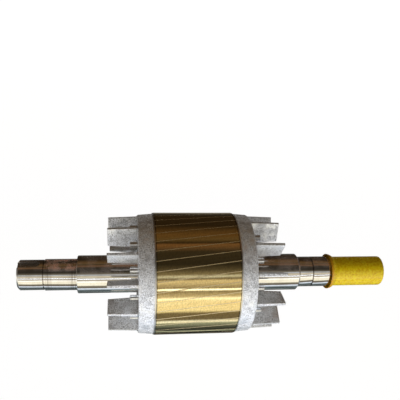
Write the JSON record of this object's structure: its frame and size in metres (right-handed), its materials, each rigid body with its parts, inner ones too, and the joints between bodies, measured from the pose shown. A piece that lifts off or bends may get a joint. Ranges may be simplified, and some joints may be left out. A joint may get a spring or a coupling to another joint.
{
  "type": "motor rotor",
  "caption": "Squirrel-cage motor rotor: stepped shaft, skewed laminated core, cast end rings with fan blades, capped drive end",
  "frame": {"origin": "on the shaft's axis at the middle of the laminated core", "axes": "+X along the shaft towards the capped drive end, +Z through the middle of the fan keyway, Y across"},
  "size_m": [0.5347, 0.177, 0.177],
  "materials": {
    "ground_steel": "ground bright with fine turning marks",
    "electrical_sheet": "turned steel under a thin golden varnish",
    "cast_aluminium": "matt die-cast skin",
    "cap_plastic": "satin soft plastic"
  },
  "bodies": {
    "root": {"shaft": "ground_steel", "lamination_stack": "electrical_sheet", "rotor_cage": "cast_aluminium", "shaft_cap": "cap_plastic"}
  },
  "joints": []
}
